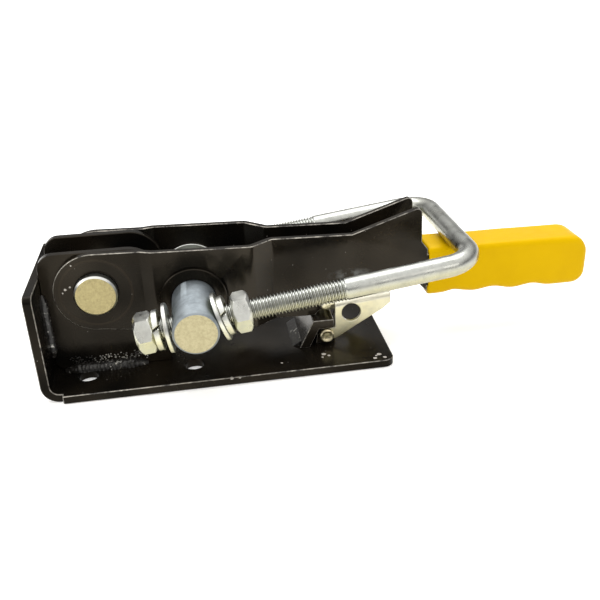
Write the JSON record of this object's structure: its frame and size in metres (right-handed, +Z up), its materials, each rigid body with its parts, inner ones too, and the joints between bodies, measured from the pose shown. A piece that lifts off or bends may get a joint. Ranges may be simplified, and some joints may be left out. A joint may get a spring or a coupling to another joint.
{
  "type": "over centre toggle latch",
  "caption": "Horizontal toggle latch: a lever handle pulls a threaded U-bolt over centre, with a sprung safety lever and a soft grip.",
  "frame": {"origin": "centre of the four mounting holes, on the underside of the base plate", "axes": "+X from the folded end plate towards the grip, +Z up out of the base, +Y to the far side"},
  "size_m": [0.2706, 0.108, 0.0695],
  "materials": {
    "black_paint": "gloss black paint over steel plate",
    "zinc_plate": "bright zinc plating on steel",
    "yellow_vinyl": "satin dipped vinyl",
    "spring_wire": "plain spring steel wire"
  },
  "bodies": {
    "base": {"base_plate": "black_paint", "web_near": "black_paint", "web_far": "black_paint", "weld_floor_near": "black_paint", "weld_floor_far": "black_paint", "weld_wall_near": "black_paint", "weld_wall_far": "black_paint", "pivot_pin": "zinc_plate", "lock_bracket": "black_paint", "weld_bracket": "black_paint", "lever_pin": "zinc_plate", "lever_spring": "spring_wire"},
    "handle": {"handle_plate_near": "black_paint", "handle_plate_far": "black_paint", "collar_near": "black_paint", "collar_far": "black_paint", "handle_spacer": "black_paint", "grip": "yellow_vinyl"},
    "draw": {"trunnion": "zinc_plate", "thrust_washer_near": "zinc_plate", "thrust_washer_far": "zinc_plate", "u_bolt": "zinc_plate", "nut_near_tail": "zinc_plate", "nut_near_loop": "zinc_plate", "nut_far_tail": "zinc_plate", "nut_far_loop": "zinc_plate", "flat_washer_near_tail": "zinc_plate", "flat_washer_near_loop": "zinc_plate", "flat_washer_far_tail": "zinc_plate", "flat_washer_far_loop": "zinc_plate", "lock_washer_near_tail": "zinc_plate", "lock_washer_near_loop": "zinc_plate", "lock_washer_far_tail": "zinc_plate", "lock_washer_far_loop": "zinc_plate"},
    "lever": {"lock_lever": "zinc_plate"}
  },
  "joints": [
    {"name": "handle_pivot", "type": "hinge", "parent": "base", "child": "handle", "pos_m": [-0.01525, 0, 0.044], "axis": [0, -1, 0], "range_deg": [0, 115]},
    {"name": "u_bolt_swing", "type": "hinge", "parent": "handle", "child": "draw", "pos_m": [0.02725, 0, 0.0375], "axis": [0, -1, 0], "range_deg": [0, 185]},
    {"name": "lever_release", "type": "hinge", "parent": "base", "child": "lever", "pos_m": [0.08925, 0, 0.0096], "axis": [0, 1, 0], "range_deg": [0, 25], "stiffness_Nm_per_rad": 0.05, "springref_deg": -20.05, "deforming": ["lever_spring"]}
  ]
}
